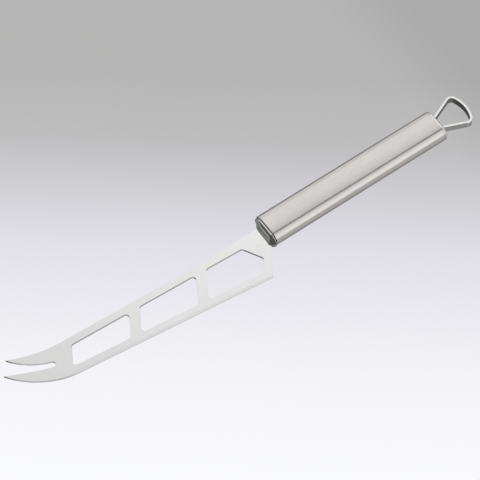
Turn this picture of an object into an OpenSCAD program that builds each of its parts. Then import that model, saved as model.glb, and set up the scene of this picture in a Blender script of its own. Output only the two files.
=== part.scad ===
// Cheese knife of stainless steel: a blade with three windows and a forked tip, held in a hollow
// flat-oval handle that ends in a hanging loop. The knife lies on one flat of its handle.
// X runs from the tip towards the loop, Y from the cutting edge towards the spine, and Z points up.
// The origin is the middle of the handle's lower flat.

/* [Handle] */
// Width of the handle, from its edge side to its spine side
handle_w = 18.6; // [15:0.2:24]
// Thickness of the handle between its two flats
handle_t = 9.6; // [8.4:0.2:13]
// Length of the handle tube
tube_l = 109; // [90:1:140]
// Wall of the handle tube
tube_wall = 0.8; // [0.6:0.1:1.2]
// Gap left all round where one piece fits into another
fit_gap = 0.05; // [0.02:0.01:0.1]

/* [Front cap] */
// Width of the groove between the tube and the cap
groove_w = 0.4; // [0.2:0.1:0.8]
// Depth of that groove
groove_depth = 0.4; // [0.2:0.1:0.5]
// Length of the bright band round the cap
band_l = 0.7; // [0.4:0.1:2]
// Step from the band in to the foot of the dome
dome_step = 0.4; // [0.2:0.1:1]
// Height of the dome over the band
dome_h = 2.7; // [1:0.1:3]
// Length of the spigot inside the tube
spigot_l = 7; // [4:0.5:14]

/* [Blade] */
// Thickness of the blade sheet
blade_t = 1.5; // [1:0.1:2.5]
// Length from the tube to the point where the cutting edge starts to curve up
straight_l = 119.2; // [105:0.2:160]
// Height of the spine over the handle's middle line, along its level stretch
spine_h = 3.7; // [3.4:0.1:5]
// Distance from the tube to the point where the spine starts to rise
level_l = 45.2; // [20:0.2:80]
// Rise of the spine towards the tip, in degrees
spine_rise = 2.7; // [1.5:0.1:3.5]
// Distance from the tube to the heel corner
heel_l = 12.9; // [9:0.1:18]
// Drop of the heel corner below the handle's middle line
heel_drop = 23.9; // [20:0.1:30]
// Slant of the heel, in degrees away from square to the handle
heel_slant = 33; // [24:1:38]
// Rise of the cutting edge towards the tip, in degrees
edge_rise = 6.3; // [5:0.1:8]
// Width of the ground bevel along the cutting edge
bevel_w = 1.4; // [0.6:0.1:3]
// Thickness left at the cutting edge
edge_land = 0.4; // [0.2:0.1:0.8]

/* [Forked tip] */
// Radius of the belly, which carries the cutting edge up to the lower tine
belly_r = 47; // [42:1:56]
// Radius of the hollow curve from the spine up to the upper tine
sweep_r = 70; // [60:1:80]
// Distance from the end of the straight edge to the middle of the fork slot's round end
fork_start = 10.6; // [8:0.2:14]
// Distance of that middle below the spine
fork_depth = 7.7; // [6:0.1:9]
// Width of the fork slot at its round end
fork_w = 3.2; // [2.2:0.1:4]
// Slant of the fork slot at its round end, in degrees
fork_slant = 19; // [15:0.5:23]
// Radius of the upper tine's inner side
upper_tine_r = 37; // [33:1:42]
// Radius of the lower tine's inner side
lower_tine_r = 150; // [120:5:200]

/* [Windows] */
// Number of four-sided windows in front of the heel window
plain_windows = 2; // [1:1:3]
// Distance from the tube to the upper corner of the heel window
apex_l = 16.5; // [15:0.1:22]
// Length of the heel window's upper side
heel_window_l = 21.3; // [16:0.1:28]
// Width of the bars between the windows
bar_w = 5.3; // [4:0.1:8]
// Slant of the bars, in degrees away from square to the handle
bar_slant = 30; // [15:1:36]
// Slant of the heel window's side next to the handle, in degrees
shoulder_slant = 30; // [22:1:36]
// Width of the band between the windows and the spine's rising stretch
spine_band = 3.9; // [2.8:0.1:5]
// Width of the band along the cutting edge
edge_band = 4.4; // [3:0.1:6]
// Width of the band along the heel
heel_band = 4.3; // [3:0.1:6]
// Distance from the windows' tip end to the end of the straight edge
tip_band = 3; // [2:0.1:8]
// Corner radius of the windows
window_r = 1.8; // [1:0.1:2.2]

/* [Tang] */
// Length of the tang inside the tube
tang_l = 42; // [26:1:70]
// Width of the tang
tang_w = 6; // [4.6:0.1:6.3]
// Diameter of the holes that key the tang into the cement
tang_hole_d = 3; // [2:0.1:3.6]
// Distance between the two holes
tang_hole_pitch = 14; // [8:1:16]
// Distance from the tang's end to the hole next to it
tang_hole_end = 8; // [5:0.5:12]
// Length of the cement behind the tang's end
cement_over = 8; // [3:1:18]

/* [Rear cap] */
// Height of the rear cap past the tube's end, and radius of its rounded edge
rear_dome_h = 2; // [1:0.1:3]
// Thickness of the rear cap inside the tube
rear_disc_t = 1; // [1:0.1:3]
// Length of the skirt that holds the rear cap in the tube
skirt_l = 6; // [4:0.5:12]
// Wall of that skirt
skirt_wall = 0.8; // [0.6:0.1:1]

/* [Hanging loop] */
// Thickness of the loop's strip
strip_t = 1.3; // [1:0.1:1.8]
// Width of the loop's strip
strip_w = 4.3; // [3:0.1:4.6]
// Reach of the loop past the tube's end
loop_l = 20.6; // [16:0.2:26]
// Distance between the middles of the two legs at the tube's end
leg_spread = 5.3; // [4.4:0.1:6.2]
// Slant of each leg away from the handle's middle line, in degrees
leg_slant = 22.5; // [16:0.5:28]
// Radius of the outer bow at the middle of the strip
bow_r = 17.5; // [11:0.1:22]
// Radius of the two bends at the middle of the strip
bend_r = 3; // [1.2:0.1:4]
// Thickness of the weld that covers each leg's end inside the cap
weld_h = 1.6; // [1.2:0.1:2.4]
// Width of that weld on both sides of the leg
weld_bead = 0.6; // [0.3:0.1:0.8]

/* [Hidden] */
$fn = 180;

// How far a cutting shape runs past the face that it cuts
past = 1;
// How far a round stands out over the straight that it carries on, so that their outlines cross
lap = 0.004;

// Flat-oval section of the handle: two flats joined by half rounds
flat_w = handle_w - handle_t;
outer_r = handle_t / 2;
bore_r = outer_r - tube_wall;
plug_r = bore_r - fit_gap;

// Front cap, as distances in front of the tube
seat_l = groove_w + band_l;
cap_l = seat_l + dome_h;

// Cement, measured from the tube's front end
cement_l = tang_l + cement_over;

// Blade outline in u, the distance from the tube towards the tip, and y
function rise_y(u) = spine_h + (u - level_l) * tan(spine_rise);
function spine_y(u) = max(spine_h, rise_y(u));
function edge_y(u) = -heel_drop + (u - heel_l) * tan(edge_rise);
function heel_y(u) = -heel_drop + (heel_l - u) / tan(heel_slant);

// A slanted line's direction: down the blade, and towards the tip where the slant is positive
function down(slant) = [sin(slant), -cos(slant)];

// Where the line from p along d crosses the line from q along e
function meet(p, d, q, e) = p + d * cross(q - p, e) / cross(d, e);

function unit(v) = v / norm(v);

// Forked tip, worked out from the end of the straight edge
belly_start = [straight_l, edge_y(straight_l)];
belly_mid = belly_start + belly_r * [-sin(edge_rise), cos(edge_rise)];
sweep_mid = [straight_l, spine_y(straight_l)] + sweep_r * [-sin(spine_rise), cos(spine_rise)];
fork_mid = [straight_l + fork_start, spine_y(straight_l) - fork_depth];
fork_side = [-sin(fork_slant), cos(fork_slant)];
upper_tine_mid = fork_mid + fork_side * (upper_tine_r + fork_w / 2);
lower_tine_mid = fork_mid + fork_side * (lower_tine_r - fork_w / 2);

// Windows: their upper sides lie on one line, their lower sides on another
bar_u = bar_w / cos(bar_slant);
window_end = straight_l - tip_band;
apex = [apex_l, rise_y(apex_l) - spine_band / cos(spine_rise)];
window_top = [cos(spine_rise), sin(spine_rise)];
window_foot = [heel_l, -heel_drop + edge_band / cos(edge_rise)];
window_foot_way = [cos(edge_rise), sin(edge_rise)];
heel_window_end = apex_l + heel_window_l;
plain_window_l = (window_end - heel_window_end) / plain_windows - bar_u;
heel_inside = [heel_l + heel_band / cos(heel_slant), -heel_drop];

// Hanging loop, with its origin on the middle line at the tube's end
leg_way = [cos(leg_slant), sin(leg_slant)];
leg_side = [sin(leg_slant), -cos(leg_slant)];
leg_foot = [0, leg_spread / 2];
bow_x = loop_l - strip_t / 2 - bow_r;
bend_from_bow = leg_foot + bend_r * leg_side - [bow_x, 0];
bend_along = bend_from_bow * leg_way;
leg_l = -bend_along + sqrt(bend_along ^ 2 - bend_from_bow * bend_from_bow + (bow_r - bend_r) ^ 2);
bend_mid = leg_foot + leg_l * leg_way + bend_r * leg_side;
bow_turn = atan2(bend_mid.y, bend_mid.x - bow_x);
// Each leg ends inside its weld
leg_end = rear_disc_t + weld_h / 2;

// Moves the knife from its middle line at the tube's front end to where it lies
module lying() {
    translate([-tube_l / 2, 0, handle_t / 2]) children();
}

// Flat-oval outline with half rounds of radius r
module oval(r) {
    square([flat_w, 2 * r], center = true);
    for (side = [-1, 1]) translate([side * flat_w / 2, 0]) circle(r);
}

// Extrudes an outline along the handle, from x0 to x1
module along_handle(x0, x1) {
    translate([x0, 0, 0]) rotate([90, 0, 90]) linear_extrude(x1 - x0) children();
}

// Body of flat-oval section, rising along Z, from its profile across the handle's thickness
module oval_body() {
    rotate([90, 0, 0]) linear_extrude(flat_w, center = true) children();
    for (turn = [0, 180]) rotate(turn) translate([0, flat_w / 2, 0])
        rotate_extrude(angle = 180) intersection() {
            children();
            square(handle_t);
        }
}

// Profile of a pillow dome over a foot of half width foot_r
module dome_profile(foot_r, height) {
    dome_r = (foot_r ^ 2 + height ^ 2) / (2 * height);
    intersection() {
        translate([0, height - dome_r]) circle(dome_r);
        translate([-dome_r, 0]) square(2 * dome_r);
    }
}

// Profile of a head of half width foot_r whose edges are rounded over its whole height
module rounded_profile(foot_r, height) {
    intersection() {
        translate([-foot_r, 0]) square([2 * foot_r, height]);
        union() {
            square(2 * [foot_r - height, height + past], center = true);
            for (side = [-1, 1]) translate([side * (foot_r - height), 0]) circle(height + lap);
        }
    }
}

// Convex polygon with every corner rounded to radius r
module rounded_polygon(points, r) {
    count = len(points);
    corners = [for (i = [0:count - 1])
        let (
            point = points[i],
            back = unit(points[(i + count - 1) % count] - point),
            ahead = unit(points[(i + 1) % count] - point),
            half = acos(back * ahead) / 2,
            run = r / tan(half)
        )
        [point + back * run, point + ahead * run, point + unit(back + ahead) * r / sin(half)]
    ];
    polygon([for (corner = corners) each [corner[0], corner[1]]]);
    for (corner = corners) translate(corner[2]) circle(r + lap);
}

// Four-sided window whose upper side runs from u0 to u1
module plain_window(u0, u1) {
    tops = [for (u = [u0, u1]) apex + window_top * (u - apex.x) / window_top.x];
    feet = [for (top = tops) meet(top, down(bar_slant), window_foot, window_foot_way)];
    rounded_polygon([feet[0], feet[1], tops[1], tops[0]], window_r);
}

// Five-sided window behind the heel
module heel_window() {
    end = apex + window_top * heel_window_l / window_top.x;
    shoulder = meet(apex, down(-shoulder_slant), heel_inside, down(heel_slant));
    heel_foot = meet(heel_inside, down(heel_slant), window_foot, window_foot_way);
    end_foot = meet(end, down(bar_slant), window_foot, window_foot_way);
    rounded_polygon([shoulder, heel_foot, end_foot, end, apex], window_r);
}

// Fork slot: a round end that opens out between the two tines
module fork_slot() {
    translate(fork_mid) circle(fork_w / 2 + lap);
    difference() {
        intersection() {
            translate(lower_tine_mid) circle(lower_tine_r);
            translate(fork_mid) rotate(fork_slant) translate([0, -fork_w]) square(belly_r);
        }
        translate(upper_tine_mid) circle(upper_tine_r);
    }
}

// Tip: inside the belly's circle, under the sweep's circle, with the fork slot cut out
module tip_outline() {
    difference() {
        intersection() {
            translate(belly_mid) circle(belly_r + lap);
            polygon([
                belly_start - 2 * past * [1, 1],
                belly_start + [belly_r, -2 * past],
                belly_start + [belly_r, 2 * belly_r],
                belly_start + [0, 2 * belly_r],
                belly_start + [0, past]
            ]);
        }
        translate(sweep_mid) circle(sweep_r + lap);
        fork_slot();
    }
}

// Slot for the blade's root, from its seat on the cap to past the dome, with a gap at spine and heel
module root_slot_outline() {
    front = cap_l + past;
    heel_gap = fit_gap / sin(heel_slant);
    polygon([
        [seat_l, heel_y(seat_l) - heel_gap],
        [front, heel_y(front) - heel_gap],
        [front, spine_y(front) + fit_gap],
        [seat_l, spine_y(seat_l) + fit_gap]
    ]);
}

// Tang, grown by gap, with its two holes shrunk by as much
module tang_outline(gap) {
    difference() {
        translate([-tang_l - gap, -tang_w / 2 - gap])
            square([tang_l + gap + seat_l + past, tang_w + 2 * gap]);
        for (x = [tang_hole_end, tang_hole_end + tang_hole_pitch])
            translate([x - tang_l, 0]) circle(d = tang_hole_d - 2 * gap);
    }
}

module blade_outline() {
    difference() {
        union() {
            polygon([
                [seat_l, heel_y(seat_l)],
                [heel_l, -heel_drop],
                belly_start,
                [straight_l + past, spine_y(straight_l + past)],
                [level_l, spine_h],
                [seat_l, spine_h]
            ]);
            tip_outline();
            tang_outline(0);
        }
        heel_window();
        for (i = [0:plain_windows - 1]) {
            u0 = heel_window_end + bar_u + i * (plain_window_l + bar_u);
            plain_window(u0, u0 + plain_window_l);
        }
    }
}

// Wedge removed by the ground bevel, with the cutting edge at 0 and the blade towards negative values
module bevel_wedge() {
    slope = (blade_t - edge_land) / 2 / bevel_w;
    polygon([
        [past, edge_land / 2 - past * slope],
        [past, blade_t / 2 + past * slope],
        [-bevel_w - past, blade_t / 2 + past * slope]
    ]);
}

// Both bevels, ground along the straight edge and straight on until the belly has curved away from them
module ground_edge() {
    edge_l = norm(belly_start - [heel_l, -heel_drop]);
    run_out = sqrt(2 * belly_r * bevel_w) + past;
    for (face = [0, 1]) mirror([0, 0, face])
        translate(belly_start) rotate(edge_rise - 90) translate([0, run_out, 0]) rotate([90, 0, 0])
            linear_extrude(run_out + edge_l + past) bevel_wedge();
}

// Room for the loop's straight leg in what it goes through, with a gap all round
module leg_slot() {
    slot_t = strip_t + 2 * fit_gap;
    slot_w = strip_w + 2 * fit_gap;
    slot_end = (leg_end + fit_gap) / cos(leg_slant) + strip_t / 2 * tan(leg_slant);
    translate(leg_foot) rotate(leg_slant) translate([-slot_end, -slot_t / 2, -slot_w / 2])
        cube([slot_end + leg_l, slot_t, slot_w]);
}

// What the loop's strip goes round, out to grow from the middle of the strip, and from x0 on
module loop_outline(grow, x0) {
    out = -leg_side * grow;
    foot = leg_foot + out;
    start = foot + leg_way * (x0 - foot.x) / leg_way.x;
    bend = foot + leg_way * leg_l;
    bow = [bow_x, 0] + (bow_r + grow) * [cos(bow_turn), sin(bow_turn)];
    lower = [for (point = [start, bend, bow]) [point.x, -point.y]];
    polygon(concat(lower, [bow, bend, start]));
    for (side = [-1, 1]) translate([bend_mid.x, side * bend_mid.y]) circle(bend_r + grow + lap);
    intersection() {
        translate([bow_x, 0]) circle(bow_r + grow);
        translate([bow.x, -bow.y]) square([bow_r, 2 * bow.y]);
    }
}

// Both halves of something that is alike on each side of the handle's middle line
module both_sides() {
    for (side = [0, 1]) mirror([0, side, 0]) children();
}

// Blade and tang, stamped from one sheet, with the ground bevel along the cutting edge
module blade() {
    color("gainsboro") lying() mirror([1, 0, 0]) difference() {
        linear_extrude(blade_t, center = true) blade_outline();
        ground_edge();
    }
}

// Polished cap with the groove, the bright band and the dome, slotted for the blade
module front_cap() {
    color("dimgray") lying() difference() {
        union() {
            along_handle(0, spigot_l) oval(plug_r);
            along_handle(-groove_w, 0) oval(outer_r - groove_depth);
            along_handle(-seat_l, -groove_w) oval(outer_r);
            translate([-seat_l, 0, 0]) rotate([0, -90, 0])
                oval_body() dome_profile(outer_r - dome_step, dome_h);
        }
        mirror([1, 0, 0]) linear_extrude(blade_t + 2 * fit_gap, center = true) {
            root_slot_outline();
            tang_outline(fit_gap);
        }
    }
}

// Brushed tube of flat-oval section
module handle_tube() {
    color("silver") lying() along_handle(0, tube_l) difference() {
        oval(outer_r);
        oval(bore_r);
    }
}

// Cement that fills the tube's front and grips the tang through its holes
module tang_cement() {
    color("lightgray") lying() difference() {
        along_handle(spigot_l + fit_gap, cement_l) oval(plug_r);
        mirror([1, 0, 0]) linear_extrude(blade_t + 2 * fit_gap, center = true) tang_outline(fit_gap);
    }
}

// Cap with a rounded head, pressed into the tube's rear end, with a slot for each leg of the loop
module rear_cap() {
    color("lightgray") lying() translate([tube_l, 0, 0]) difference() {
        union() {
            rotate([0, 90, 0]) oval_body() rounded_profile(outer_r, rear_dome_h);
            along_handle(-skirt_l, 0) oval(plug_r);
        }
        along_handle(-skirt_l - past, -rear_disc_t) oval(plug_r - skirt_wall);
        both_sides() leg_slot();
    }
}

// Flat strip bent to a rounded triangle, with both ends through the rear cap
module hanging_loop() {
    color("whitesmoke") lying() translate([tube_l, 0, 0])
        linear_extrude(strip_w, center = true) difference() {
            loop_outline(strip_t / 2, -leg_end);
            loop_outline(-strip_t / 2, -leg_end - past);
        }
}

// Weld over each leg's end, on the inside of the rear cap
module loop_welds() {
    weld_y = leg_foot.y - rear_disc_t * tan(leg_slant);
    weld_w = strip_t / cos(leg_slant) + 2 * weld_bead;
    color("darkgray") lying() translate([tube_l, 0, 0]) both_sides() difference() {
        translate([-rear_disc_t - weld_h, weld_y - weld_w / 2, -strip_w / 2 - weld_bead / 2])
            cube([weld_h, weld_w, strip_w + weld_bead]);
        leg_slot();
    }
}

blade();
front_cap();
handle_tube();
tang_cement();
rear_cap();
hanging_loop();
loop_welds();
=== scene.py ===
import math

import bmesh
import bpy
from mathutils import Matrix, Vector


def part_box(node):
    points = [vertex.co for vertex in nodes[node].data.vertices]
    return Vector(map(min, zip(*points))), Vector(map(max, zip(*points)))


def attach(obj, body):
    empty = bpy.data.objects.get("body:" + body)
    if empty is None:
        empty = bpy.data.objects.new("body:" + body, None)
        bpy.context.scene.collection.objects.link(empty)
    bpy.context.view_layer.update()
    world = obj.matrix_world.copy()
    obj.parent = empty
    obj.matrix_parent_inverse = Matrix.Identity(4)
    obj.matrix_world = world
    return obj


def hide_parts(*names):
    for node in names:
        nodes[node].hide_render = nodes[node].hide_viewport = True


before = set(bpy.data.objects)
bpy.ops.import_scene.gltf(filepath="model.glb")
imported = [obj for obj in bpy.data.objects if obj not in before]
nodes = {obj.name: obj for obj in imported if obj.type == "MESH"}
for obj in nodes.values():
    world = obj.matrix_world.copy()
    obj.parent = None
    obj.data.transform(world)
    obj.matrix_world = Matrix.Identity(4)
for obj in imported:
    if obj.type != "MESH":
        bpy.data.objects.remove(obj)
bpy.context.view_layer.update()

# Blade: windowed and forked, stamped with its tang from one 1.5 mm sheet of stainless steel.
# The faces are satin ground along the blade, the stamped edges are deburred to a small round,
# and a narrow bevel is ground along the cutting edge.
BLADE_TINT = (0.91, 0.908, 0.905)
BLADE_ROUGHNESS = 0.22
BLADE_GRAIN, BLADE_GRAIN_DEPTH = (0.004, 0.00025, 0.00025), 4e-6
BLADE_EDGE_ROUND = 0.0002
GRAIN_DETAIL, GRAIN_HARSHNESS = 4.0, 0.65
GRAIN_LOW, GRAIN_HIGH = 0.25, 0.75
CLOUD_SCALE, CLOUD_DETAIL, CLOUD_HARSHNESS = 90.0, 3.0, 0.5
CLOUD_LOW, CLOUD_HIGH = 0.3, 0.7
SAME_POINT = 1e-6
SAME_FACE, SHARP_EDGE = math.radians(0.5), math.radians(30)
ROUND_STEPS = 3


def noise(tree, place, scale, detail, harshness):
    """Cloudy noise over a piece, from 0 to 1."""
    texture = tree.nodes.new("ShaderNodeTexNoise")
    texture.inputs["Scale"].default_value = scale
    texture.inputs["Detail"].default_value = detail
    texture.inputs["Roughness"].default_value = harshness
    tree.links.new(place, texture.inputs["Vector"])
    return texture.outputs["Fac"]


def ranged(tree, value, start, end, low, high):
    """Turns a value into a run from low, up to start, to high, from end on."""
    run = tree.nodes.new("ShaderNodeMapRange")
    run.inputs["From Min"].default_value = start
    run.inputs["From Max"].default_value = end
    run.inputs["To Min"].default_value = low
    run.inputs["To Max"].default_value = high
    tree.links.new(value, run.inputs["Value"])
    return run.outputs["Result"]


def coloured(tree, value, stops):
    """Turns a value from 0 to 1 into a colour. Each stop is a value and the colour there."""
    ramp = tree.nodes.new("ShaderNodeValToRGB")
    marks = ramp.color_ramp.elements
    for k, (stop, colour) in enumerate(stops):
        mark = marks[k] if k < 2 else marks.new(stop)
        mark.position = stop
        mark.color = (*colour, 1)
    tree.links.new(value, ramp.inputs["Fac"])
    return ramp.outputs["Color"]


def finish(name, tint, roughness, grain, grain_depth, shade=0.04, rub=0.06, metal=1.0):
    """Grained finish. The grain has a size along X, Y and Z, and shades the tint by a share.
    Rubbing changes the roughness by a share, in soft clouds."""
    material = bpy.data.materials.new(name)
    material.use_nodes = True
    tree = material.node_tree
    shader = tree.nodes["Principled BSDF"]
    shader.inputs["Metallic"].default_value = metal
    place = tree.nodes.new("ShaderNodeTexCoord").outputs["Object"]
    stretch = tree.nodes.new("ShaderNodeMapping")
    stretch.inputs["Scale"].default_value = [1 / size for size in grain]
    tree.links.new(place, stretch.inputs["Vector"])
    scratches = noise(tree, stretch.outputs["Vector"], 1.0, GRAIN_DETAIL, GRAIN_HARSHNESS)
    dark = [level * (1 - shade) for level in tint]
    light = [min(1, level * (1 + shade)) for level in tint]
    colour = coloured(tree, scratches, [(GRAIN_LOW, dark), (GRAIN_HIGH, light)])
    tree.links.new(colour, shader.inputs["Base Color"])
    clouds = noise(tree, place, CLOUD_SCALE, CLOUD_DETAIL, CLOUD_HARSHNESS)
    gloss = ranged(tree, clouds, CLOUD_LOW, CLOUD_HIGH, roughness * (1 - rub), roughness * (1 + rub))
    tree.links.new(gloss, shader.inputs["Roughness"])
    relief = tree.nodes.new("ShaderNodeBump")
    relief.inputs["Strength"].default_value = 1.0
    relief.inputs["Distance"].default_value = grain_depth
    tree.links.new(scratches, relief.inputs["Height"])
    tree.links.new(relief.outputs["Normal"], shader.inputs["Normal"])
    return material


def dress(node, material, edge_round=0):
    """Gives a solid its finish, and a small round on its sharp edges if it has one."""
    piece = nodes[node]
    piece.data.materials.clear()
    piece.data.materials.append(material)
    if edge_round:
        weld = piece.modifiers.new("one skin", "WELD")
        weld.merge_threshold = SAME_POINT
        flat = piece.modifiers.new("whole faces", "DECIMATE")
        flat.decimate_type = "DISSOLVE"
        flat.angle_limit = SAME_FACE
        soft = piece.modifiers.new("edge round", "BEVEL")
        soft.width = edge_round
        soft.segments = ROUND_STEPS
        soft.limit_method = "ANGLE"
        soft.angle_limit = SHARP_EDGE
        soft.use_clamp_overlap = True
        soft.loop_slide = False
        soft.harden_normals = True


satin = finish("satin blade steel", BLADE_TINT, BLADE_ROUGHNESS, BLADE_GRAIN, BLADE_GRAIN_DEPTH)
dress("blade", satin, BLADE_EDGE_ROUND)

# Front cap: a turned and polished stainless plug, pressed into the front of the tube. Its pillow dome
# is slotted for the blade, stands full and blunt on the edge's side, and falls off to the spine's side.
# Painted shade darkens the colour in the groove that parts it from the tube, and in the corner by the heel.
POLISHED_TINT = (0.66, 0.66, 0.65)
POLISHED_ROUGHNESS = 0.10
POLISHED_GRAIN, POLISHED_GRAIN_DEPTH = (0.0012, 0.0012, 0.0012), 4e-7
POLISHED_SHADE, POLISHED_RUB = 0.02, 0.2
GROOVE_W, GROOVE_DEPTH = 0.00035, 0.0007
GROOVE_PAINTED_SHADE, GROOVE_BLUR = 0.12, 0.00002
CORNER_WAY = (-0.7, -0.7, -0.3)
CORNER_START, CORNER_END, CORNER_PAINTED_SHADE = 0.0443, 0.0448, 0.40
BAND_W, BAND_R = 0.00075, 0.0008
BAND_INSET, BAND_TAPER = 0.00025, 0.0003
EDGEWARD, EDGE_FLARE = 0.0005, 0.0005
DOME_STEP = 0.00055
EDGE_SHOULDER, EDGE_BULGE = 0.42, 1.6
FALL_START, FALL_END, FALL = 0.0018, 0.0083, 0.62
SPINE_EASE = 0.8
SPIGOT_INSET = 0.00085
SLOT_T = 0.0016
SLOT_BACK, SLOT_FRONT = -0.0468, -0.0593
TANG_HALF_W = 0.00305
SHOULDER_SPINE, SHOULDER_EDGE, HEEL_EDGE = 0.00375, -0.00582, -0.01152
FLAT = math.radians(0.02)
FACE_STEPS, SIDE_STEPS = 24, 48
BAND_STEPS, DOME_STEPS = 10, 28
MERGE_GAP = 2e-6
SHARP_CORNER = math.radians(40)
cap_low, cap_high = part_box("front_cap")
cap_front, cap_back = cap_low[0], cap_high[0]
half_w, half_t = cap_high[1], (cap_high[2] - cap_low[2]) / 2
handle_mid = (cap_low[2] + cap_high[2]) / 2
tube_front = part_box("handle_tube")[0][0]
groove_front = tube_front - GROOVE_W
band_front = groove_front - BAND_W


def oval_ring(x, half_y, half_z, lean, inset):
    """Flat-oval section at x, drawn in by inset: broad faces that lean back to their edges, round sides."""
    slope = math.tan(lean / 2)
    side_r = (half_z - half_y * slope) / (1 - slope)
    side_y = half_y - side_r
    face_r = side_r + side_y / math.sin(lean)
    ring = []
    for side in (1, -1):
        for k in range(FACE_STEPS):
            turn = lean * (1 - 2 * k / FACE_STEPS)
            y = (face_r - inset) * math.sin(turn)
            z = half_z - face_r + (face_r - inset) * math.cos(turn)
            ring.append((x, side * y, handle_mid + side * z))
        for k in range(SIDE_STEPS):
            turn = -lean - (math.pi - 2 * lean) * k / SIDE_STEPS
            y = (side_r - inset) * math.sin(turn) - side_y
            z = (side_r - inset) * math.cos(turn)
            ring.append((x, side * y, handle_mid + side * z))
    return ring


def skin(name, rings, tubular):
    """Closed skin over rings of points. A tube's last ring joins its first, a plug's end rings close up."""
    shape = bmesh.new()
    rows = [[shape.verts.new(point) for point in ring] for ring in rings]
    for row, after in zip(rows, rows[1:] + rows[:1] if tubular else rows[1:]):
        for k in range(len(row)):
            n = (k + 1) % len(row)
            shape.faces.new((row[k], row[n], after[n], after[k]))
    bmesh.ops.remove_doubles(shape, verts=shape.verts, dist=MERGE_GAP)
    bmesh.ops.recalc_face_normals(shape, faces=shape.faces)
    mesh = bpy.data.meshes.new(name)
    shape.to_mesh(mesh)
    shape.free()
    piece = bpy.data.objects.new(name, mesh)
    bpy.context.scene.collection.objects.link(piece)
    return piece


def soften(mesh):
    """Smooth shading, with the real corners kept sharp."""
    mesh.shade_smooth()
    mesh.set_sharp_from_angle(angle=SHARP_CORNER)


def cut(piece, outline, thickness):
    """Cuts a slot of even thickness through a piece, along its middle plane."""
    shape = bmesh.new()
    faces = []
    for z in (handle_mid - thickness / 2, handle_mid + thickness / 2):
        faces.append([shape.verts.new((x, y, z)) for x, y in outline])
    for face in faces:
        shape.faces.new(face)
    for k in range(len(outline)):
        n = (k + 1) % len(outline)
        shape.faces.new((faces[0][k], faces[0][n], faces[1][n], faces[1][k]))
    bmesh.ops.recalc_face_normals(shape, faces=shape.faces)
    blank = bpy.data.meshes.new("slot cutter")
    shape.to_mesh(blank)
    shape.free()
    cutter = bpy.data.objects.new("slot_cutter", blank)
    bpy.context.scene.collection.objects.link(cutter)
    slot = piece.modifiers.new("slot", "BOOLEAN")
    slot.operation = "DIFFERENCE"
    slot.solver = "EXACT"
    slot.object = cutter
    bpy.context.view_layer.update()
    whole = piece.data
    slotted = piece.evaluated_get(bpy.context.evaluated_depsgraph_get())
    piece.data = bpy.data.meshes.new_from_object(slotted)
    piece.modifiers.clear()
    bpy.data.meshes.remove(whole)
    bpy.data.objects.remove(cutter)
    bpy.data.meshes.remove(blank)


def eased(value, start, end):
    """Rises smoothly from 0 at start to 1 at end."""
    share = min(1, max(0, (value - start) / (end - start)))
    return share * share * (3 - 2 * share)


def reach(tree, place, way):
    """How far a place lies along a way."""
    along = tree.nodes.new("ShaderNodeVectorMath")
    along.operation = "DOT_PRODUCT"
    along.inputs[1].default_value = way
    tree.links.new(place, along.inputs[0])
    return along.outputs["Value"]


def paint_shade_along(material, measure, start, end, shade):
    """Paints shade into a finish by a measure over the piece: full colour at start, and a share of it at
    end.
    """
    tree = material.node_tree
    base = tree.nodes["Principled BSDF"].inputs["Base Color"]
    darker = tree.nodes.new("ShaderNodeVectorMath")
    darker.operation = "SCALE"
    tree.links.new(base.links[0].from_socket, darker.inputs[0])
    tree.links.new(ranged(tree, measure, start, end, 1.0, shade), darker.inputs["Scale"])
    tree.links.new(darker.outputs["Vector"], base)


def plain_ring(x, inset):
    """Section of the cap at x, drawn in by inset. In front of the tube it stands towards the edge's side."""
    ring = oval_ring(x, half_w, half_t, FLAT, inset)
    if x < tube_front:
        ring = [(x, y - EDGEWARD + EDGE_FLARE * min(0, y / half_w), z) for x, y, z in ring]
    return ring


def band_ring(way):
    """Section of the rounded band, from its back at -1 to its front at 1. The edge's side is tapered."""
    x = groove_front - BAND_W / 2 * (1 + way)
    inset = BAND_INSET + BAND_R - math.sqrt(BAND_R ** 2 - (BAND_W / 2 * way) ** 2)
    ring = []
    for full, drawn_in in zip(plain_ring(x, inset), plain_ring(x, inset + BAND_TAPER)):
        edge_side = eased(-full[1], half_w - half_t, half_w)
        ring.append(Vector(full).lerp(Vector(drawn_in), edge_side * (1 + way) / 2))
    return ring


def dome_ring(rise):
    """Section of the dome, from its foot at 0 to its ridge at 1."""
    foot_r, height = half_t - DOME_STEP, band_front - cap_front
    arc_r = (foot_r ** 2 + height ** 2) / (2 * height)
    pillow = max(0, (math.sqrt(arc_r ** 2 - (foot_r * (1 - rise)) ** 2) - arc_r + height) / height)
    blunt = 1 - max(0, 1 - rise / EDGE_SHOULDER) ** EDGE_BULGE
    ring = []
    for rim, ridge in zip(plain_ring(band_front, 0), plain_ring(band_front, half_t)):
        edge_side = eased(-rim[1], half_w - half_t, half_w)
        spine_side = eased(rim[1], half_w - half_t, half_w)
        step = DOME_STEP + (BAND_INSET + BAND_TAPER - DOME_STEP) * edge_side
        x, y, z = Vector(rim).lerp(Vector(ridge), (step + (half_t - step) * rise) / half_t)
        full = (pillow + (blunt - pillow) * edge_side) * pillow ** (SPINE_EASE * spine_side)
        fall = 1 - FALL * eased(y, FALL_START, FALL_END)
        ring.append((x - height * full * fall, y, z))
    return ring


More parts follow.
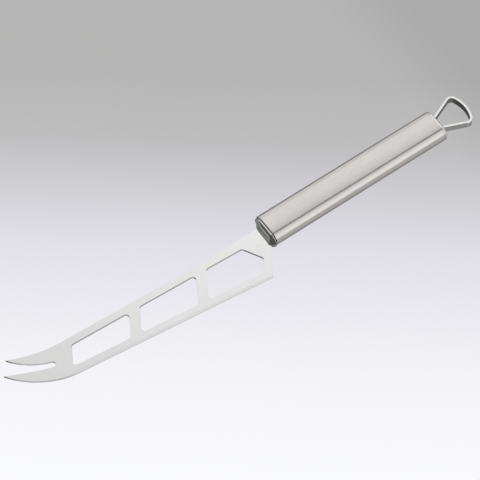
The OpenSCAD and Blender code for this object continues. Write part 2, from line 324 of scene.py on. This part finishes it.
rings = [
    plain_ring(cap_back, half_t),
    plain_ring(cap_back, SPIGOT_INSET),
    plain_ring(tube_front, SPIGOT_INSET),
    plain_ring(tube_front, GROOVE_DEPTH),
    plain_ring(groove_front, GROOVE_DEPTH),
]
rings += [band_ring(2 * k / BAND_STEPS - 1) for k in range(BAND_STEPS + 1)]
rings += [dome_ring(1 - math.cos(math.radians(90 * k / DOME_STEPS))) for k in range(DOME_STEPS + 1)]
slot_outline = [
    (SLOT_BACK, TANG_HALF_W),
    (band_front, TANG_HALF_W),
    (band_front, SHOULDER_SPINE),
    (SLOT_FRONT, SHOULDER_SPINE),
    (SLOT_FRONT, HEEL_EDGE),
    (band_front, SHOULDER_EDGE),
    (band_front, -TANG_HALF_W),
    (SLOT_BACK, -TANG_HALF_W),
]
cap = skin("polished_cap", rings, False)
cut(cap, slot_outline, SLOT_T)
soften(cap.data)
polished = finish(
    "polished cap steel", POLISHED_TINT, POLISHED_ROUGHNESS, POLISHED_GRAIN, POLISHED_GRAIN_DEPTH,
    POLISHED_SHADE, POLISHED_RUB,
)
tree = polished.node_tree
place = tree.nodes["Texture Coordinate"].outputs["Object"]
lengthwise = reach(tree, place, (1, 0, 0))
# Painted shade: darkens the colour in the groove between the cap and the tube.
paint_shade_along(polished, lengthwise, groove_front - GROOVE_BLUR, groove_front + GROOVE_BLUR, GROOVE_PAINTED_SHADE)
# Painted shade: darkens the colour of the dome's corner by the heel.
paint_shade_along(polished, reach(tree, place, CORNER_WAY), CORNER_START, CORNER_END, CORNER_PAINTED_SHADE)
cap.data.materials.append(polished)
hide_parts("front_cap")
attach(cap, "root")

# Cement: the grey fill that is poured into the tube's front and grips the tang through its holes.
# It is closed in by the tube and the front cap, so it doesn't show.
CEMENT_TINT = (0.5, 0.48, 0.44)
CEMENT_ROUGHNESS = 0.9
CEMENT_GRAIN, CEMENT_GRAIN_DEPTH = (0.0006, 0.0006, 0.0006), 5e-5
cement = finish("set cement", CEMENT_TINT, CEMENT_ROUGHNESS, CEMENT_GRAIN, CEMENT_GRAIN_DEPTH, metal=0.0)
dress("tang_cement", cement)

# Handle tube: a seamless flat-oval stainless tube with a fine lengthwise brushed finish.
# Its two broad faces are gently crowned. Its ends are cut square and broken to a small round,
# and it slides over both caps.
HANDLE_TINT = (0.75, 0.72, 0.70)
HANDLE_ROUGHNESS = 0.24
HANDLE_GRAIN, HANDLE_GRAIN_DEPTH = (0.006, 0.00022, 0.00022), 2.5e-6
HANDLE_SHADE = 0.07
TUBE_WALL = 0.0008
FACE_LEAN = math.radians(3.5)
FRONT_RIM, FRONT_RIM_STEPS = 0.00055, 6
REAR_RIM, REAR_RIM_STEPS = 0.00008, 3
RIM_MARGIN = 0.0002
tube_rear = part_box("handle_tube")[1][0]
outside = []
for k in range(FRONT_RIM_STEPS + 1):
    turn = math.radians(90 * k / FRONT_RIM_STEPS)
    outside.append((tube_front + FRONT_RIM * (1 - math.cos(turn)), FRONT_RIM * (1 - math.sin(turn))))
outside.append((tube_front + FRONT_RIM + RIM_MARGIN, 0))
outside.append((tube_rear - REAR_RIM - RIM_MARGIN, 0))
for k in range(REAR_RIM_STEPS + 1):
    turn = math.radians(90 * k / REAR_RIM_STEPS)
    outside.append((tube_rear - REAR_RIM * (1 - math.sin(turn)), REAR_RIM * (1 - math.cos(turn))))
rings = [oval_ring(x, half_w, half_t, FACE_LEAN, inset) for x, inset in outside]
for x in (tube_rear, tube_front):
    rings.append(oval_ring(x, half_w - TUBE_WALL, half_t - TUBE_WALL, FLAT, 0))
handle = skin("brushed_handle", rings, True)
soften(handle.data)
brushed = finish(
    "brushed handle steel", HANDLE_TINT, HANDLE_ROUGHNESS, HANDLE_GRAIN, HANDLE_GRAIN_DEPTH, HANDLE_SHADE,
)
handle.data.materials.append(brushed)
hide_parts("handle_tube")
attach(handle, "root")

# Rear cap: a stainless cap with a rounded head, pressed into the tube's rear end and brushed over with it.
# Two slots in it take the legs of the hanging loop.
dress("rear_cap", brushed)

# Loop welds: a bead on each leg's end behind the rear cap, inside the tube.
# They hold the loop and don't show from outside.
WELD_TINT = (0.42, 0.40, 0.38)
WELD_ROUGHNESS = 0.55
WELD_GRAIN, WELD_GRAIN_DEPTH = (0.0005, 0.0005, 0.0005), 4e-5
dress("loop_welds", finish("weld steel", WELD_TINT, WELD_ROUGHNESS, WELD_GRAIN, WELD_GRAIN_DEPTH))

# Hanging loop: a flat stainless strip bent to a rounded triangle, both legs pushed through the rear cap.
# Its outside and its edges are buffed bright. Inside, where the wheel doesn't reach, it keeps the rougher
# face of the rolled strip, and painted shade darkens its colour there.
LOOP_TINT = (0.86, 0.855, 0.84)
LOOP_ROUGHNESS = 0.16
LOOP_GRAIN, LOOP_GRAIN_DEPTH = (0.003, 0.0003, 0.0003), 1e-6
LOOP_EDGE_ROUND = 0.00012
INSIDE_PAINTED_SHADE, ROLLED_ROUGHNESS = 0.42, 0.3
INSIDE_START, INSIDE_END = 0.0005, 0.0015
EYE_DEPTH = 0.006
loop_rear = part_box("hanging_loop")[1][0]
buffed = finish("loop strip steel", LOOP_TINT, LOOP_ROUGHNESS, LOOP_GRAIN, LOOP_GRAIN_DEPTH)
tree = buffed.node_tree
to_eye = tree.nodes.new("ShaderNodeVectorMath")
to_eye.operation = "SUBTRACT"
to_eye.inputs[0].default_value = (loop_rear - EYE_DEPTH, 0, handle_mid)
tree.links.new(tree.nodes["Texture Coordinate"].outputs["Object"], to_eye.inputs[1])
facing = tree.nodes.new("ShaderNodeNewGeometry")
inward = tree.nodes.new("ShaderNodeVectorMath")
inward.operation = "DOT_PRODUCT"
tree.links.new(to_eye.outputs["Vector"], inward.inputs[0])
tree.links.new(facing.outputs["Normal"], inward.inputs[1])
# Painted shade: darkens the colour of the loop's inside faces. Their added roughness is real.
paint_shade_along(buffed, inward.outputs["Value"], INSIDE_START, INSIDE_END, INSIDE_PAINTED_SHADE)
dull = ranged(tree, inward.outputs["Value"], INSIDE_START, INSIDE_END, 0.0, ROLLED_ROUGHNESS)
roughness = tree.nodes["Principled BSDF"].inputs["Roughness"]
duller = tree.nodes.new("ShaderNodeMath")
duller.operation = "ADD"
tree.links.new(roughness.links[0].from_socket, duller.inputs[0])
tree.links.new(dull, duller.inputs[1])
tree.links.new(duller.outputs["Value"], roughness)
dress("hanging_loop", buffed, LOOP_EDGE_ROUND)

# Studio: a plain pale floor with a soft glow of its own, which shades off to the back and past the loop.
# A softbox with a brighter core stands behind the knife, one in front of it, and a strip light on its
# left. The room around them is graded in greys, which the steel mirrors.
FLOOR_HALF_SIZE, FLOOR_DROP, FLOOR_TILES = 3.0, 0.0001, 4
FLOOR_WAY, FLOOR_NEAR, FLOOR_FAR = (0.616, 0.788, 0.0), -0.18, 0.12
FLOOR_SHADES = [
    (0.05, (0.951, 0.954, 0.967)),
    (0.23, (0.904, 0.897, 0.936)),
    (0.46, (0.756, 0.746, 0.805)),
    (0.67, (0.522, 0.515, 0.524)),
    (0.82, (0.469, 0.466, 0.465)),
]
DIM_START, DIM_END, DIM_SHARE = 0.055, 0.094, 0.87
floor_mesh = bpy.data.meshes.new("floor")
shape = bmesh.new()
bmesh.ops.create_grid(shape, x_segments=FLOOR_TILES, y_segments=FLOOR_TILES, size=FLOOR_HALF_SIZE)
shape.to_mesh(floor_mesh)
shape.free()
floor = bpy.data.objects.new("floor", floor_mesh)
floor.location.z = -FLOOR_DROP
bpy.context.scene.collection.objects.link(floor)
paper = bpy.data.materials.new("pale paper")
paper.use_nodes = True
tree = paper.node_tree
tree.nodes.clear()
place = tree.nodes.new("ShaderNodeTexCoord").outputs["Object"]
depth = ranged(tree, reach(tree, place, FLOOR_WAY), FLOOR_NEAR, FLOOR_FAR, 0.0, 1.0)
glow = tree.nodes.new("ShaderNodeEmission")
tree.links.new(coloured(tree, depth, FLOOR_SHADES), glow.inputs["Color"])
dim = ranged(tree, reach(tree, place, (1, 0, 0)), DIM_START, DIM_END, 1.0, DIM_SHARE)
tree.links.new(dim, glow.inputs["Strength"])
surface = tree.nodes.new("ShaderNodeOutputMaterial")
tree.links.new(glow.outputs["Emission"], surface.inputs["Surface"])
floor_mesh.materials.append(paper)
floor.visible_glossy = False
floor.visible_diffuse = False
floor.visible_shadow = False


def softbox(name, place, aim, width, height, radiance, tint=(1, 1, 1)):
    """A soft light at a place, facing a point, with its width level."""
    lamp = bpy.data.lights.new(name, "AREA")
    lamp.shape = "RECTANGLE"
    lamp.size = width
    lamp.size_y = height
    lamp.energy = radiance * math.pi * width * height
    lamp.color = tint
    box = bpy.data.objects.new(name, lamp)
    box.location = place
    box.rotation_euler = (Vector(aim) - Vector(place)).to_track_quat("-Z", "Y").to_euler()
    bpy.context.scene.collection.objects.link(box)


softbox(
    "back softbox", place=(1.1, 0.845, 1.239), aim=(1.1, 0, 0),
    width=3.2, height=1.135, radiance=0.63,
)
softbox(
    "back softbox core", place=(1.1, 0.689, 1.298), aim=(1.1, 0, 0),
    width=1.9, height=0.42, radiance=0.21,
)
softbox(
    "front softbox", place=(1.04, -0.96, 1.15), aim=(1.04, 0, 0),
    width=2.48, height=2.43, radiance=0.57, tint=(0.98, 1, 1),
)
softbox(
    "left strip light", place=(-1.26, 0.6, 0.54), aim=(0, 0, 0),
    width=1.6, height=0.4, radiance=0.28,
)

room = bpy.data.worlds.new("room")
bpy.context.scene.world = room
room.use_nodes = True
tree = room.node_tree
looked = tree.nodes.new("ShaderNodeSeparateXYZ")
tree.links.new(tree.nodes.new("ShaderNodeTexCoord").outputs["Generated"], looked.inputs["Vector"])


def graded(axis, shades):
    """Grey levels of the room along one axis of the way that is looked in, from -1 to 1."""
    share = ranged(tree, looked.outputs[axis], -1.0, 1.0, 0.0, 1.0)
    return coloured(tree, share, [((where + 1) / 2, (level, level, level)) for where, level in shades])


def joined(kind, first, second, share=None):
    """Joins two grades of the room, in full or by a share."""
    mix = tree.nodes.new("ShaderNodeMixRGB")
    mix.blend_type = kind
    mix.inputs["Fac"].default_value = 1.0
    if share is not None:
        tree.links.new(share, mix.inputs["Fac"])
    tree.links.new(first, mix.inputs["Color1"])
    tree.links.new(second, mix.inputs["Color2"])
    return mix.outputs["Color"]


below = graded("Y", [
    (-1, 0.53), (-0.5, 0.38), (-0.35, 0.36), (-0.12, 0.08),
    (0.48, 0.08), (0.62, 0.32), (0.85, 0.32), (0.95, 0.14),
])
above = graded("Y", [
    (-1, 0.53), (-0.5, 0.35), (-0.1, 0.08), (0.3, 0.10),
    (0.72, 0.14), (0.84, 0.76), (1, 0.80),
])
upper_half = graded("Z", [(-1, 0), (-0.03, 0), (0.05, 1), (1, 1)])
ends = graded("X", [(-1, 0.2), (-0.85, 0.2), (-0.5, 0), (0.5, 0), (0.7, 0.6), (1, 0.6)])
walls = joined("LIGHTEN", joined("MIX", below, above, upper_half), ends)
back_half = graded("Y", [(-1, 0), (-0.2, 0), (0, 1), (1, 1)])
right_half = graded("X", [(-1, 0.11), (0, 0.11), (0.25, 1), (1, 1)])
walls = joined("DARKEN", walls, joined("LIGHTEN", back_half, right_half))
front_half = graded("Y", [(-1, 1), (-0.15, 1), (0, 0), (1, 0)])
straight_down = graded("Z", [(-1, 1), (-0.8, 1), (-0.7, 0), (1, 0)])
left_half = graded("X", [(-1, 0.6), (-0.2, 0.6), (0.15, 0), (1, 0)])
underfoot = joined("MULTIPLY", joined("MULTIPLY", front_half, straight_down), left_half)
tree.links.new(joined("LIGHTEN", walls, underfoot), tree.nodes["Background"].inputs["Color"])

# Camera: a long lens that looks at the handle's front end, from the cutting edge's side and well above.
# The lens is shifted a little, so that the whole knife is in the frame.
AZIMUTH, ELEVATION = math.radians(-35.5), math.radians(60.5)
DISTANCE = 1.022
FOCAL_LENGTH, SENSOR_WIDTH = 150, 36
SHIFT_X, SHIFT_Y = -0.055, -0.0188
back = Vector((
    math.sin(AZIMUTH) * math.cos(ELEVATION),
    -math.cos(AZIMUTH) * math.cos(ELEVATION),
    math.sin(ELEVATION),
))
lens = bpy.data.cameras.new("camera")
lens.lens = FOCAL_LENGTH
lens.sensor_width = SENSOR_WIDTH
lens.shift_x = SHIFT_X
lens.shift_y = SHIFT_Y
camera = bpy.data.objects.new("camera", lens)
camera.location = Vector((tube_front, 0, handle_mid)) + back * DISTANCE
camera.rotation_mode = "QUATERNION"
camera.rotation_quaternion = (-back).to_track_quat("-Z", "Y")
bpy.context.scene.collection.objects.link(camera)
bpy.context.scene.camera = camera
bpy.context.scene.view_settings.view_transform = "Standard"
